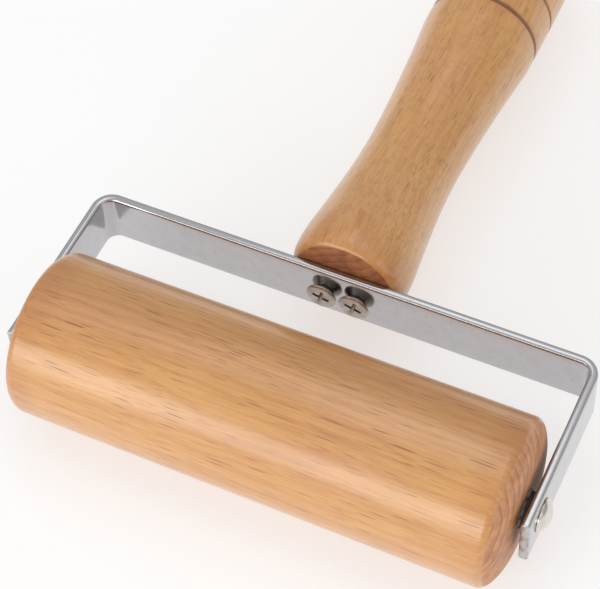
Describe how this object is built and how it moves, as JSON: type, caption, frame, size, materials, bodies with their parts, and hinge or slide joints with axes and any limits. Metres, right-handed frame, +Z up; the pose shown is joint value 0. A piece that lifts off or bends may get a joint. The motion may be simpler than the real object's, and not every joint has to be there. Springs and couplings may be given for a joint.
{
  "type": "wooden hand roller",
  "caption": "Hand roller: turned wooden roller spinning on a rod between the legs of a bent flat-strip yoke, with a turned waisted wooden handle.",
  "frame": {"origin": "on the plane the roller rests on, under the middle of the object's outline; the roller axis is 76 mm towards -Y and 20 mm up", "axes": "+X along the roller's axis, +Y from the roller towards the handle, +Z up"},
  "size_m": [0.1348, 0.192, 0.04],
  "materials": {
    "beech_roller": "satin lacquer, straight beech grain along the roller with short dark flecks",
    "beech_handle": "satin lacquer, beech grain along the handle",
    "plated_strip": "bright plated flat strip, lightly mottled",
    "nickel_rod": "warm nickel plate, polished domed heads",
    "screw_steel": "dark nickel plate",
    "washer_black": "black fibre washer, inferred: only a dark gap shows",
    "bush_nylon": "natural nylon, a guess: the bushes are hidden"
  },
  "bodies": {
    "handle_frame": {"yoke": "plated_strip", "handle": "beech_handle", "axle_rod": "nickel_rod", "handle_screw_left": "screw_steel", "handle_screw_right": "screw_steel"},
    "roller_assembly": {"roller": "beech_roller", "roller_bush_left": "bush_nylon", "roller_bush_right": "bush_nylon"},
    "left_washer": {"thrust_washer_left": "washer_black"},
    "right_washer": {"thrust_washer_right": "washer_black"}
  },
  "joints": [
    {"name": "roller_spin", "type": "hinge", "parent": "handle_frame", "child": "roller_assembly", "pos_m": [0, -0.076, 0.02], "axis": [1, 0, 0], "continuous": true},
    {"name": "left_washer_spin", "type": "hinge", "parent": "handle_frame", "child": "left_washer", "pos_m": [-0.06205, -0.076, 0.02], "axis": [1, 0, 0], "continuous": true},
    {"name": "right_washer_spin", "type": "hinge", "parent": "handle_frame", "child": "right_washer", "pos_m": [0.06205, -0.076, 0.02], "axis": [1, 0, 0], "continuous": true}
  ]
}
